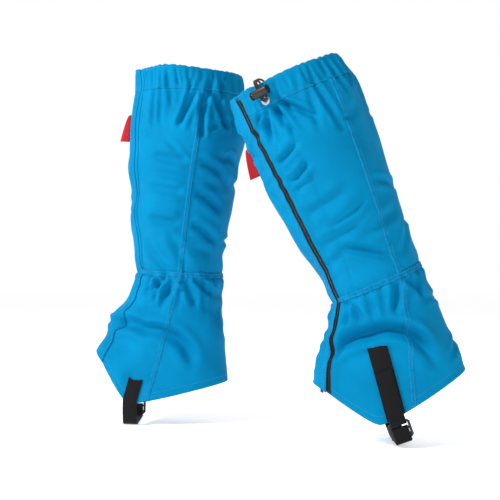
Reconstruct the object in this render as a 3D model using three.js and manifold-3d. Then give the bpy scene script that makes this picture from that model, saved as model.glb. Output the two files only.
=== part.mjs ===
// A pair of front-opening hiking gaiters, standing as they do on two walking legs.
// Millimetres, +Z up, toes towards -X, the wearer's right towards +Y.
// Each gaiter is drawn around its ankle centre on one smooth surface: u is the angle around
// the leg in degrees (0 front, 90 outer side, 180 rear, 270 inner side) and v runs down it
// (0 top edge, 1 ankle line, 2 hem). Sheets, tapes and straps are slabs at named offsets.
import * as THREE from 'three';
import * as BufferGeometryUtils from 'three/addons/utils/BufferGeometryUtils.js';
import Module from 'manifold-3d';

const wasm = await Module();
wasm.setup();

// ---- overall sizes -------------------------------------------------------------------
const tubeHeight = 285;          // ankle line to top edge, along the shin
const legSpread = 190;           // between the two ankle centres, sideways
const stride = 259.7;            // between the two ankle centres, fore and aft
const tunnelDepth = 30;          // top hem tunnel

// calf outline: share of the tube height, then front, rear and side reach from the shin line
const calfStations = [
  { rise: 0.00, front: 57, rear: 58, side: 49 },
  { rise: 0.18, front: 61, rear: 62, side: 54 },
  { rise: 0.32, front: 69, rear: 69, side: 61 },
  { rise: 0.47, front: 74, rear: 74, side: 66 },
  { rise: 0.72, front: 76, rear: 80, side: 70 },
  { rise: 0.89, front: 73, rear: 80, side: 68 },
  { rise: 1.00, front: 72, rear: 76, side: 66 },
];

// the two gaiters: hand is the outer side's direction along Y, hem points are [x, z] on the foot,
// and strapSweep is how far back the strap's sewn part leans over the whole skirt
const pair = [
  {
    name: 'left', hand: -1, ankleX: stride / 2, ankleHeight: 207, shinLean: 23.7, footPitch: 20,
    hemTip: [-115, -93], hemLow: [-56, -162], hemHeel: [68, -138], strapX: -38, strapSweep: 16,
    soleDrop: 195,
  },
  {
    name: 'right', hand: 1, ankleX: -stride / 2, ankleHeight: 215, shinLean: -2.8, footPitch: 0,
    hemTip: [-115, -109], hemLow: [-67, -178], hemHeel: [68, -150], strapX: -67, strapSweep: 52,
    soleDrop: 208,
  },
];
const hemHalfWidth = 53;         // half the hem's width across the boot
const hemSquareness = 0.8;       // below 1 the hem's sides run flatter than an ellipse
const hemValley = 12;            // rounding of the hem's lowest point
const waistStretch = 0.4;        // how long the skirt keeps the shin's direction
const hemFlare = 1.0;            // how straight the skirt arrives at the hem

// ---- cloth and its layers ------------------------------------------------------------
const fabric = 1.6;              // coated nylon with its folded edges
const ply = 0.6;                 // clearance between sewn layers
const seamGap = 0.35;            // degrees between two panels on each side of a seam
const ankleGap = 0.3;            // clearance above and below the ankle line
const tape = 0.8;                // hook tape and loop tape
const tapeWidth = 25;
const webbing = 1.4;             // strap thickness
const openingGap = 5;            // degrees between the two front edges

// angles at v = 0, 0.5, 1, 1.5 and 2
const lateralSeam = course([125, 121, 117, 106, 96]);
const medialSeam = course([251, 260, 268, 276, 283]);
const flapFree = course([22, 36, 22, 16, 26]);
const flapSewn = course([-24, -24, -24, -24, -24]);
const tapeShow = 2.3;            // degrees of hook tape seen beyond the flap's free edge

const tunnelRound = 2;           // rounding of the tunnel's top edge
const bandHeight = 10;           // ankle band outside
const elasticHeight = 14;        // ankle elastic inside
const elasticThickness = 1.0;

// ---- instep strap and buckle ---------------------------------------------------------
const strapWidth = 20;
const reinforcementWidth = strapWidth + 5;
const reinforcementTop = 1.5;    // v of its upper edge
const buckleWebbingTop = 5 / 3;
const innerAnchorTop = 11 / 6;
const buckleWidth = strapWidth + 8;
const barSize = 2.6;
const barClearance = 0.36;
const topBarDrop = 6;            // hem to top bar
const barPitch = 9;              // top bar to middle bar
const lowerBarPitch = 7.5;       // middle bar to lower bar
const buckleToe = 4.5;           // lower bar to the buckle's thumb edge
const buckleBevel = 2.5;
const buckleLean = 7;            // degrees inwards from the foot's upright
const tailLength = 15;           // strap's free end below the middle bar
const soleHalf = 44;             // half the strap's flat run under the sole
const soleCorner = 9;

// ---- drawcord and its lock -----------------------------------------------------------
const cordDiameter = 2.5;
const cordClearance = 1.35;      // from the tunnel's walls to the cord inside it
const cordPair = cordDiameter / 2 + 0.15;        // half the distance between the two strands
const cordReach = cordPair + cordDiameter / 2;   // half the width of the two strands together
const eyeletAngle = 58;
const eyeletDrop = 22;           // top edge to eyelet
const eyeletHole = cordReach + 0.35;
const eyeletBarrel = eyeletHole + 0.8;
const eyeletRoll = eyeletBarrel + 1;             // turned-over rim inside the tunnel
const eyeletFlange = eyeletBarrel + 2.2;
const eyeletStand = 0.3;         // flange above the cloth
const eyeletMetal = 0.6;         // flange thickness
const eyeletDepth = 2.6;         // eyelet's inner end behind the cloth's face
const eyeletDrill = 0.4;         // clearance of the hole in the cloth
const lockBore = cordReach + 1.55;
const lockRadius = lockBore + 1.8;
const lockShaft = lockBore - 0.4;
const lockMouth = 7;             // lock's axis to its open end
const lockFloor = 1.6;           // thickness of its closed end
const lockStandOff = 8.5;        // lock's axis from the cloth
const lockRise = 10;             // lock's axis above the eyelet
const buttonTravel = 3;
const buttonHead = 2.2;          // thickness of the button's head
const buttonEdge = 1;            // bevel of the head
const cordHoleRoom = 0.7;        // along the lock, beside the two strands
const springRoom = 3;            // length of the pressed spring
const springTurns = 3;
const springWire = 0.35;
const springRadius = lockBore - springWire - 0.9;
const tunnelThickness = 2 * fabric + cordDiameter + cordClearance + 0.55;

// route of one strand from the eyelet to the middle of the loop: [along hem, outwards, up]
const strandRoute = [
  [-cordPair, -2.3, 0], [-cordPair, 3.2, 0.1], [-cordPair, 7.0, 1.5], [-cordPair, 8.5, 5],
  [-cordPair, 8.5, 11], [-cordPair, 8.5, 17], [-cordPair, 8.5, 21.5], [-1.6, 7.0, 24.9],
  [-1.8, 3.2, 26.6], [-2.0, -2.5, 26.6], [-2.4, -7.6, 25.2], [-3.0, -10.6, 21.2],
  [-4.0, -11.2, 15], [-5.2, -11.2, 8], [-6.0, -11.2, 1], [-5.0, -11.2, -5.0], [-2.2, -11.2, -8.2],
];

// ---- label ---------------------------------------------------------------------------
const labelWidth = 14;
const labelHeight = 38;
const labelTop = 0.22;           // v of its upper edge
const labelThickness = 0.9;
const labelAngle = -4;
const labelGap = 0.6;            // room to flex at its sewn edge
const flapFold = 0.004;          // v on each side of the flap's division at the ankle
const tapeRows = [0.02, 1.985];  // v of the tapes' two ends

// ---- lace hook -----------------------------------------------------------------------
const hookWidth = 9;
const hookWire = 1.2;
const hookAngle = -9;
const hookTabTop = 1.84;
const hookInset = 3.6;            // tab's face from the inside of the skirt
const rivetRadius = 1.6;
const rivetHead = 3.4;
const rivetGap = 0.3;            // play that lets the hook turn
const rivetAt = 6;               // rivet above the tab's lower end
const hookTabHeight = 22;
const hookReach = 5;             // hook's bend, out from the tab

const materials = {
  shell: finish(0x0c87cf, 0.62, 0),
  tunnel: finish(0x0c87cf, 0.66, 0),
  webbing: finish(0x17171a, 0.85, 0),
  plastic: finish(0x101012, 0.42, 0),
  tape: finish(0x08080a, 0.95, 0),
  cord: finish(0x121214, 0.8, 0),
  elastic: finish(0x1b1b1e, 0.9, 0),
  metal: finish(0x9a9c9f, 0.35, 1),
  label: finish(0xc4121c, 0.7, 0),
};

function finish(color, roughness, metalness) {
  return new THREE.MeshStandardMaterial({ color, roughness, metalness, flatShading: true });
}

// ---- helpers -------------------------------------------------------------------------

// A value that changes smoothly down the gaiter, from evenly spaced values between v = 0 and 2.
function course(values) {
  const places = values.map((_, i) => (2 * i) / (values.length - 1));
  const curve = new THREE.CubicInterpolant(places, values, 1);
  return (v) => curve.evaluate(THREE.MathUtils.clamp(v, 0, 2))[0];
}

// Turns a point about the ankle's sideways axis, so that a positive angle lifts the rear.
function pitched(x, y, z, degrees) {
  const angle = THREE.MathUtils.degToRad(degrees);
  const c = Math.cos(angle);
  const s = Math.sin(angle);
  return new THREE.Vector3(x * c - z * s, y, x * s + z * c);
}

// Merges a geometry's shared corners and turns its faces outwards.
function sealed(geometry) {
  const bare = new THREE.BufferGeometry();
  bare.setAttribute('position', geometry.getAttribute('position'));
  if (geometry.index) bare.setIndex(geometry.index);
  const merged = BufferGeometryUtils.mergeVertices(bare, 1e-4);
  const place = merged.getAttribute('position');
  const order = Array.from(merged.index.array);
  const a = new THREE.Vector3();
  const b = new THREE.Vector3();
  const c = new THREE.Vector3();
  let volume = 0;
  for (let i = 0; i < order.length; i += 3) {
    a.fromBufferAttribute(place, order[i]);
    b.fromBufferAttribute(place, order[i + 1]);
    c.fromBufferAttribute(place, order[i + 2]);
    volume += a.dot(b.cross(c));
  }
  if (volume < 0) {
    for (let i = 0; i < order.length; i += 3) {
      [order[i + 1], order[i + 2]] = [order[i + 2], order[i + 1]];
    }
    merged.setIndex(order);
  }
  return merged;
}

function toSolid(geometry) {
  const merged = sealed(geometry);
  const vertProperties = new Float32Array(merged.getAttribute('position').array);
  const triVerts = new Uint32Array(merged.index.array);
  return new wasm.Manifold(new wasm.Mesh({ numProp: 3, vertProperties, triVerts }));
}

function fromSolid(solid) {
  const mesh = solid.getMesh();
  const geometry = new THREE.BufferGeometry();
  geometry.setAttribute('position', new THREE.BufferAttribute(mesh.vertProperties, 3));
  geometry.setIndex(Array.from(mesh.triVerts));
  return geometry;
}

// Cuts the tools out of a body.
function cut(body, ...tools) {
  let solid = toSolid(body);
  for (const tool of tools) solid = solid.subtract(toSolid(tool));
  return fromSolid(solid);
}

// A closed sheet between two grids of points of the same shape.
function slab(outer, inner) {
  const rows = outer.length;
  const columns = outer[0].length;
  const points = [...outer.flat(), ...inner.flat()];
  const index = [];
  const at = (layer, i, j) => layer * rows * columns + i * columns + j;
  const quad = (a, b, c, d) => index.push(a, b, c, a, c, d);
  for (let i = 0; i + 1 < rows; i += 1) {
    for (let j = 0; j + 1 < columns; j += 1) {
      quad(at(0, i, j), at(0, i + 1, j), at(0, i + 1, j + 1), at(0, i, j + 1));
      quad(at(1, i, j), at(1, i, j + 1), at(1, i + 1, j + 1), at(1, i + 1, j));
    }
    quad(at(0, i, 0), at(1, i, 0), at(1, i + 1, 0), at(0, i + 1, 0));
    const last = columns - 1;
    quad(at(0, i, last), at(0, i + 1, last), at(1, i + 1, last), at(1, i, last));
  }
  for (let j = 0; j + 1 < columns; j += 1) {
    const last = rows - 1;
    quad(at(0, 0, j), at(0, 0, j + 1), at(1, 0, j + 1), at(1, 0, j));
    quad(at(0, last, j), at(1, last, j), at(1, last, j + 1), at(0, last, j + 1));
  }
  const geometry = new THREE.BufferGeometry();
  geometry.setFromPoints(points);
  geometry.setIndex(index);
  return sealed(geometry);
}

// Rounds the corners of a flat path of [across, up] points with short curves.
function roundedPath(corners, radius, steps) {
  const points = [new THREE.Vector2(...corners[0])];
  for (let i = 1; i + 1 < corners.length; i += 1) {
    const corner = new THREE.Vector2(...corners[i]);
    const before = new THREE.Vector2(...corners[i - 1]).sub(corner);
    const after = new THREE.Vector2(...corners[i + 1]).sub(corner);
    const start = corner.clone().addScaledVector(before, radius / before.length());
    const end = corner.clone().addScaledVector(after, radius / after.length());
    points.push(...new THREE.QuadraticBezierCurve(start, corner, end).getPoints(steps));
  }
  points.push(new THREE.Vector2(...corners[corners.length - 1]));
  return points;
}

function roundTube(points, radius, sides, steps) {
  const route = new THREE.CatmullRomCurve3(points);
  const section = new THREE.Shape();
  for (let i = 0; i < sides; i += 1) {
    const angle = (2 * Math.PI * i) / sides;
    const corner = [radius * Math.cos(angle), radius * Math.sin(angle)];
    if (i === 0) section.moveTo(...corner);
    else section.lineTo(...corner);
  }
  section.closePath();
  return sealed(new THREE.ExtrudeGeometry(section, {
    steps, bevelEnabled: false, extrudePath: route,
  }));
}

function cylinderAlongX(radius, x0, x1, sides = 16) {
  const geometry = new THREE.CylinderGeometry(radius, radius, x1 - x0, sides);
  geometry.rotateZ(Math.PI / 2);
  geometry.translate((x0 + x1) / 2, 0, 0);
  return geometry;
}

// ---- one gaiter's surface ------------------------------------------------------------
const girth = new THREE.CubicInterpolant(
  calfStations.map((s) => s.rise),
  calfStations.flatMap((s) => [s.front, s.rear, s.side]),
  3,
);

function makeSurface(gaiter) {
  const { hand, shinLean, footPitch, hemTip, hemLow, hemHeel } = gaiter;
  const down = pitched(0, 0, -1, shinLean);

  const onLeg = (u, height) => {
    const [front, rear, side] = girth.evaluate(height / tubeHeight);
    const angle = THREE.MathUtils.degToRad(u);
    const reach = Math.cos(angle) > 0 ? front : rear;
    return pitched(-reach * Math.cos(angle), hand * side * Math.sin(angle), height, shinLean);
  };

  const hemRise = (x) => {
    const end = x < hemLow[0] ? hemTip : hemHeel;
    const bend = (d) => Math.hypot(d, hemValley) - hemValley;
    return hemLow[1] + ((end[1] - hemLow[1]) * bend(x - hemLow[0])) / bend(end[0] - hemLow[0]);
  };

  const onHem = (u) => {
    const angle = THREE.MathUtils.degToRad(u);
    const middle = (hemTip[0] + hemHeel[0]) / 2;
    const half = (hemHeel[0] - hemTip[0]) / 2;
    const x = middle - half * Math.cos(angle);
    const s = Math.sin(angle);
    const y = hand * hemHalfWidth * Math.sign(s) * Math.abs(s) ** hemSquareness;
    return pitched(x, y, hemRise(x), footPitch);
  };

  const base = (u, v) => {
    if (v <= 1) return onLeg(u, tubeHeight * (1 - v));
    const t = v - 1;
    const waist = onLeg(u, 0);
    const hem = onHem(u);
    const run = hem.clone().sub(waist);
    const length = run.length();
    return new THREE.Vector3()
      .addScaledVector(waist, 2 * t ** 3 - 3 * t ** 2 + 1)
      .addScaledVector(down, (t ** 3 - 2 * t ** 2 + t) * length * waistStretch)
      .addScaledVector(hem, -2 * t ** 3 + 3 * t ** 2)
      .addScaledVector(run, (t ** 3 - t ** 2) * hemFlare);
  };

  const normal = (u, v) => {
    const across = base(u + 2, v).sub(base(u - 2, v));
    const along = base(u, Math.min(v + 0.02, 2)).sub(base(u, Math.max(v - 0.02, 0)));
    const axis = base(90, v).add(base(270, v)).multiplyScalar(0.5);
    const n = across.cross(along).normalize();
    return n.dot(base(u, v).sub(axis)) < 0 ? n.negate() : n;
  };

  const point = (u, v, offset = 0) => base(u, v).addScaledVector(normal(u, v), offset);

  // Angle of the point on the outer (1) or inner (-1) side at a fore-aft place on the foot.
  const angleAt = (x, v, side) => {
    let low = 0;
    let high = 180;
    for (let i = 0; i < 40; i += 1) {
      const middle = (low + high) / 2;
      const p = base(side * middle, v);
      if (pitched(p.x, p.y, p.z, -footPitch).x < x) low = middle;
      else high = middle;
    }
    return side * low;
  };

  // Degrees that a width in millimetres takes at a place on the surface.
  const span = (u, v, width) => (4 * width) / base(u + 2, v).distanceTo(base(u - 2, v));

  return { base, normal, point, angleAt, span };
}

// Rows that every sheet shares, so that layers lie parallel: calf rows, then skirt rows.
const sharedRows = [];
for (let i = 0; i <= 7; i += 1) sharedRows.push(i / 7);
for (let i = 1; i <= 6; i += 1) sharedRows.push(1 + i / 6);

function rowsBetween(v0, v1) {
  return [v0, ...sharedRows.filter((v) => v > v0 + 0.01 && v < v1 - 0.01), v1];
}

// A sheet between two angle courses and two rows, from one offset to another. A layer that lies
// on another takes finer steps, in degrees, so that its facets stay outside the layer below.
function patch(surface, uFrom, uTo, v0, v1, inner, outer, step = 12) {
  const rows = rowsBetween(v0, v1);
  const widest = Math.max(...rows.map((v) => uTo(v) - uFrom(v)));
  const columns = Math.max(1, Math.round(widest / step));
  const grid = (offset) => rows.map((v) => {
    const line = [];
    for (let j = 0; j <= columns; j += 1) {
      line.push(surface.point(THREE.MathUtils.lerp(uFrom(v), uTo(v), j / columns), v, offset));
    }
    return line;
  });
  return slab(grid(outer), grid(inner));
}

// A closed section of [height below the top edge, offset] points swept around the leg.
function sweepAround(surface, section, u0, u1, step) {
  const steps = Math.round((u1 - u0) / step);
  const count = section.length;
  const points = [];
  const index = [];
  for (let i = 0; i <= steps; i += 1) {
    const u = THREE.MathUtils.lerp(u0, u1, i / steps);
    for (const [drop, offset] of section) points.push(surface.point(u, drop / tubeHeight, offset));
  }
  for (let i = 0; i < steps; i += 1) {
    for (let j = 0; j < count; j += 1) {
      const a = i * count + j;
      const b = i * count + ((j + 1) % count);
      index.push(a, b, b + count, a, b + count, a + count);
    }
  }
  const outline = section.map(([drop, offset]) => new THREE.Vector2(drop, offset));
  const end = steps * count;
  for (const [a, b, c] of THREE.ShapeUtils.triangulateShape(outline, [])) {
    if (THREE.ShapeUtils.isClockWise(outline)) {
      index.push(a, b, c, end + a, end + c, end + b);
    } else {
      index.push(a, c, b, end + a, end + b, end + c);
    }
  }
  const geometry = new THREE.BufferGeometry();
  geometry.setFromPoints(points);
  geometry.setIndex(index);
  return sealed(geometry);
}

// ---- one gaiter ----------------------------------------------------------------------
function makeGaiter(gaiter) {
  const group = new THREE.Group();
  const surface = makeSurface(gaiter);
  const { hand, footPitch, strapX, strapSweep, soleDrop } = gaiter;

  const add = (name, geometry, material) => {
    const mesh = new THREE.Mesh(geometry, material);
    mesh.name = `${gaiter.name}_${name}`;
    group.add(mesh);
    return mesh;
  };

  // courses that follow the flap's free edge
  const tapeEnd = (v) => flapFree(v) + tapeShow;
  const tapeStart = (v) => tapeEnd(v) - surface.span(flapFree(v), v, tapeWidth);
  const outerEdge = (v) => tapeStart(v);
  const innerEdge = (v) => outerEdge(v) - openingGap;
  const innerEdgeRound = (v) => innerEdge(v) + 360;
  const shift = (edge, degrees) => (v) => edge(v) + degrees;

  const tunnelEnd = tunnelDepth / tubeHeight;
  const gapV = ankleGap / tubeHeight;

  // panels
  const panels = [
    ['outer', outerEdge, shift(lateralSeam, -seamGap)],
    ['rear', shift(lateralSeam, seamGap), shift(medialSeam, -seamGap)],
    ['inner', shift(medialSeam, seamGap), innerEdgeRound],
  ];
  for (const [name, from, to] of panels) {
    const calf = patch(surface, from, to, tunnelEnd + gapV, 1 - gapV, -fabric, 0);
    const skirt = patch(surface, from, to, 1 + gapV * 2, 2, -fabric, 0);
    add(`${name}_calf_panel`, calf, materials.shell);
    add(`${name}_skirt_panel`, skirt, materials.shell);
  }

  addTunnel();
  addAnkle();
  addFrontClosure();
  addInstepStrap();
  addLaceHook();
  return group;

  // The top hem tunnel, with the drawcord that runs inside it, its eyelet and its lock.
  function addTunnel() {
    const eyeletV = eyeletDrop / tubeHeight;
    const out = surface.normal(eyeletAngle, eyeletV);
    const up = surface.base(eyeletAngle, 0).sub(surface.base(eyeletAngle, eyeletV)).normalize();
    const along = new THREE.Vector3().crossVectors(out, up).normalize();
    const seat = new THREE.Matrix4().makeBasis(along, out, along.clone().cross(out));
    seat.setPosition(surface.base(eyeletAngle, eyeletV));
    const seated = (geometry) => geometry.applyMatrix4(seat);

    const inside = -tunnelThickness;
    const round = tunnelRound;
    const section = [
      [tunnelDepth, 0], [round, 0], [0, -round], [0, inside + round], [round, inside],
      [tunnelDepth, inside], [tunnelDepth, inside + fabric], [fabric, inside + fabric],
      [fabric, -fabric], [tunnelDepth, -fabric],
    ];
    const tunnel = sweepAround(surface, section, outerEdge(0), innerEdgeRound(0), 12);
    const drillRadius = eyeletBarrel + eyeletDrill;
    const drill = new THREE.CylinderGeometry(drillRadius, drillRadius, 3 * fabric, 12);
    add('top_hem_tunnel', cut(tunnel, seated(drill)), materials.tunnel);

    const centre = -fabric - cordDiameter / 2 - cordClearance;
    const ring = [];
    for (let i = 0; i < 8; i += 1) {
      const angle = (i * Math.PI) / 4;
      const r = cordDiameter / 2;
      ring.push([eyeletDrop + r * Math.cos(angle), centre + r * Math.sin(angle)]);
    }
    const cord = sweepAround(surface, ring, outerEdge(0) + 3, innerEdgeRound(0) - 3, 12);
    add('tunnel_drawcord', cord, materials.cord);

    const behind = -fabric - 0.55;
    const front = eyeletStand + eyeletMetal;
    const eyelet = new THREE.LatheGeometry([
      [eyeletHole, -eyeletDepth], [eyeletRoll, -eyeletDepth], [eyeletRoll, behind],
      [eyeletBarrel, behind], [eyeletBarrel, eyeletStand], [eyeletFlange, eyeletStand],
      [eyeletFlange, front], [eyeletHole, front], [eyeletHole, -eyeletDepth],
    ].map((p) => new THREE.Vector2(...p)), 14);
    add('cord_eyelet', sealed(seated(eyelet)), materials.metal);

    const there = strandRoute.map(([x, y, z]) => new THREE.Vector3(x, y, z));
    const bottom = new THREE.Vector3(0, strandRoute.at(-1)[1], strandRoute.at(-1)[2] - 0.9);
    const back = strandRoute.map(([x, y, z]) => new THREE.Vector3(-x, y, z)).reverse();
    const loop = roundTube([...there, bottom, ...back], cordDiameter / 2, 8, 38);
    add('drawcord_loop', seated(loop), materials.cord);

    const atLock = new THREE.Matrix4().makeTranslation(0, lockStandOff, lockRise);
    const onLock = (geometry) => sealed(seated(geometry.applyMatrix4(atLock)));
    const buttonSide = (geometry) => (hand > 0 ? geometry.rotateZ(Math.PI) : geometry);
    const cordHole = (halfAlong, middle) => {
      const oval = new THREE.Shape().absellipse(0, 0, halfAlong, cordReach - 0.25, 0, 2 * Math.PI);
      const hole = new THREE.ExtrudeGeometry(oval, {
        depth: 4 * lockRadius, bevelEnabled: false, curveSegments: 6,
      });
      return hole.translate(middle, 0, -2 * lockRadius);
    };
    const slotHalf = cordReach + 0.3 + buttonTravel / 2;
    const shaftEnd = -slotHalf + buttonTravel / 2 - 2;
    const blindEnd = shaftEnd - buttonTravel - springRoom;
    const body = cut(
      cylinderAlongX(lockRadius, blindEnd - lockFloor, lockMouth),
      cylinderAlongX(lockBore, blindEnd, lockMouth + 1),
      cordHole(cordReach + cordHoleRoom, 0),
    );
    add('cord_lock_body', onLock(buttonSide(body)), materials.plastic);
    const headStart = lockMouth + buttonTravel + 0.3;
    const headEnd = headStart + buttonHead;
    const headRadius = lockRadius - 0.6;
    const plunger = new THREE.LatheGeometry([
      [0, shaftEnd], [lockShaft, shaftEnd], [lockShaft, headStart], [headRadius, headStart],
      [headRadius, headEnd - buttonEdge], [headRadius - buttonEdge, headEnd], [0, headEnd],
    ].map((p) => new THREE.Vector2(...p)), 16);
    plunger.rotateZ(-Math.PI / 2);
    const button = cut(plunger, cordHole(slotHalf, buttonTravel / 2));
    add('cord_lock_button', onLock(buttonSide(button)), materials.plastic);

    const helix = [];
    const steps = springTurns * 8;
    const springStart = blindEnd + springWire + 0.3;
    const springEnd = shaftEnd - springWire - 0.3;
    for (let i = 0; i <= steps; i += 1) {
      const angle = (i * 2 * Math.PI) / 8;
      const x = THREE.MathUtils.lerp(springStart, springEnd, i / steps);
      helix.push(new THREE.Vector3(x, springRadius * Math.cos(angle), springRadius * Math.sin(angle)));
    }
    const spring = roundTube(helix, springWire, 5, steps);
    add('cord_lock_spring', onLock(buttonSide(spring)), materials.metal);
  }

  // The ankle band outside and the elastic inside.
  function addAnkle() {
    const skirtLength = surface.base(90, 1).distanceTo(surface.base(90, 2));
    const around = (height) => [1 - height / 2 / tubeHeight, 1 + height / 2 / skirtLength];
    const bandStart = shift(tapeEnd, 0.6);
    const bandRows = around(bandHeight);
    const band = patch(surface, bandStart, shift(innerEdgeRound, -0.6), ...bandRows, ply, ply + 1);
    add('ankle_band', band, materials.shell);
    const inner = -fabric - ply;
    const elastic = patch(
      surface, shift(outerEdge, 3), shift(innerEdgeRound, -3), ...around(elasticHeight),
      inner - elasticThickness, inner,
    );
    add('ankle_elastic', elastic, materials.elastic);
  }

  // Hook tape on the panel, loop tape and flap over it, and the label sewn to the flap.
  function addFrontClosure() {
    const hook = ply + tape;
    const loop = hook + ply + tape;
    const flap = loop + ply;
    const hookTape = patch(surface, shift(tapeStart, 0.4), tapeEnd, ...tapeRows, ply, hook, 8);
    add('hook_tape', hookTape, materials.tape);
    const halves = [['upper', 0, 1 - flapFold], ['lower', 1 + flapFold, 2]];
    for (const [name, v0, v1] of halves) {
      const cloth = patch(surface, flapSewn, flapFree, v0, v1, flap, flap + fabric, 6);
      add(`front_flap_${name}`, cloth, materials.shell);
      const from = shift(tapeStart, 2);
      const to = shift(flapFree, -0.6);
      const top = Math.max(v0, tapeRows[0]);
      const end = Math.min(v1, tapeRows[1]);
      const loopTape = patch(surface, from, to, top, end, hook + ply, loop, 7);
      add(`loop_tape_${name}`, loopTape, materials.tape);
    }
    const base = flap + fabric + labelGap;
    const labelEnd = labelTop + labelHeight / tubeHeight;
    const rows = rowsBetween(labelTop, labelEnd);
    const side = (turn) => rows.map((v) => [base, base + labelWidth].map((offset) => {
      const half = surface.span(labelAngle, v, labelThickness / 2);
      return surface.point(labelAngle, v, offset).add(
        surface.base(labelAngle + turn * half, v).sub(surface.base(labelAngle, v)),
      );
    }));
    add('woven_label', slab(side(1), side(-1)), materials.label);
  }

  // Webbing on the outer side, the ladder lock, and the strap that runs under the boot.
  function addInstepStrap() {
    const columns = [-0.5, -1 / 6, 1 / 6, 0.5];
    const onCloth = (width, v, side, offset) => columns.map((c) => {
      const middle = surface.angleAt(strapX + strapSweep * (2 - v), v, side);
      const u = middle + side * c * surface.span(middle, v, width);
      return surface.point(u, v, offset);
    });
    const hemAt = (side, x = strapX) => {
      const p = surface.base(surface.angleAt(x, 2, side), 2);
      const flat = pitched(p.x, p.y, p.z, -footPitch);
      return new THREE.Vector2(hand * flat.y, flat.z);
    };
    // below the hem the strap keeps the slant that the boot's side has in plan
    const slant = (hemAt(1, strapX + 5).x - hemAt(1, strapX - 5).x) / 10;
    const onFoot = (c, across, z) => {
      const side = THREE.MathUtils.clamp(across / soleHalf, -1, 1);
      return pitched(strapX + c, hand * (across + c * slant * side), z, footPitch);
    };

    // reinforcement, flat on the skirt
    const patchRows = rowsBetween(reinforcementTop, 1.995);
    const thick = ply + webbing;
    const reinforcement = slab(
      patchRows.map((v) => onCloth(reinforcementWidth, v, 1, thick)),
      patchRows.map((v) => onCloth(reinforcementWidth, v, 1, ply)),
    );
    add('strap_reinforcement', reinforcement, materials.webbing);

    // the buckle's own plane: down the strap and outwards, from the hem
    const outerHem = hemAt(1);
    const lean = THREE.MathUtils.degToRad(buckleLean);
    const down = new THREE.Vector2(-Math.sin(lean), -Math.cos(lean));
    const out = new THREE.Vector2(Math.cos(lean), -Math.sin(lean));
    const inPlane = (s, o) => outerHem.clone().addScaledVector(down, s).addScaledVector(out, o);
    const wrap = (barSize / 2) * Math.SQRT2 + barClearance + webbing / 2;
    const frontPly = thick + ply + webbing / 2;
    const barDepth = frontPly - wrap;

    // Rows of a flat strap whose middle line follows a path of points in the [across, up] plane.
    const stripRows = (path, width, side) => path.map((p, i) => {
      const before = path[Math.max(i - 1, 0)];
      const after = path[Math.min(i + 1, path.length - 1)];
      const run = after.clone().sub(before).normalize();
      const normal = new THREE.Vector2(run.y, -run.x);
      const q = p.clone().addScaledVector(normal, (side * webbing) / 2);
      return columns.map((c) => onFoot(c * width, q.x, q.y));
    });
    const arc = (centre, from, to, steps) => {
      const points = [];
      for (let i = 0; i <= steps; i += 1) {
        const angle = THREE.MathUtils.degToRad(THREE.MathUtils.lerp(from, to, i / steps));
        const s = centre - wrap * Math.sin(angle);
        points.push(inPlane(s, barDepth + wrap * Math.cos(angle)));
      }
      return points;
    };

    // webbing folded round the top bar, sewn over the reinforcement
    const foldRows = rowsBetween(buckleWebbingTop, 1.97);
    const foldPath = [
      inPlane(topBarDrop - 3, frontPly), ...arc(topBarDrop, 0, -180, 6),
      inPlane(topBarDrop - 1.6, barDepth - wrap),
    ];
    const outerFold = [
      ...foldRows.map((v) => onCloth(strapWidth, v, 1, thick + ply + webbing)),
      ...stripRows(foldPath, strapWidth, -1),
    ];
    const innerFold = [
      ...foldRows.map((v) => onCloth(strapWidth, v, 1, thick + ply)),
      ...stripRows(foldPath, strapWidth, 1),
    ];
    add('buckle_webbing', slab(outerFold, innerFold), materials.webbing);

    // ladder lock: a frame with three bars
    const middleBar = topBarDrop + barPitch;
    const lowerBar = middleBar + lowerBarPitch;
    const toe = lowerBar + buckleToe;
    const plate = new THREE.Shape();
    const half = buckleWidth / 2;
    const bevel = buckleBevel;
    const head = topBarDrop - barSize / 2;
    plate.moveTo(-half + bevel, head);
    plate.lineTo(half - bevel, head);
    plate.lineTo(half, head + bevel);
    plate.lineTo(half, toe - bevel);
    plate.lineTo(half - bevel, toe);
    plate.lineTo(-half + bevel, toe);
    plate.lineTo(-half, toe - bevel);
    plate.lineTo(-half, head + bevel);
    plate.closePath();
    const slotHalf = strapWidth / 2 + 0.8;
    const slots = [[topBarDrop, middleBar], [middleBar, lowerBar]];
    for (const [from, to] of slots) {
      const slot = new THREE.Path();
      slot.moveTo(-slotHalf, from + barSize / 2);
      slot.lineTo(slotHalf, from + barSize / 2);
      slot.lineTo(slotHalf, to - barSize / 2);
      slot.lineTo(-slotHalf, to - barSize / 2);
      slot.closePath();
      plate.holes.push(slot);
    }
    const frame = new THREE.ExtrudeGeometry(plate, { depth: barSize, bevelEnabled: false });
    const place = frame.getAttribute('position');
    for (let i = 0; i < place.count; i += 1) {
      const q = inPlane(place.getY(i), barDepth - barSize / 2 + place.getZ(i));
      const p = onFoot(place.getX(i), q.x, q.y);
      place.setXYZ(i, p.x, p.y, p.z);
    }
    add('ladder_lock', sealed(frame), materials.plastic);

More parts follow.
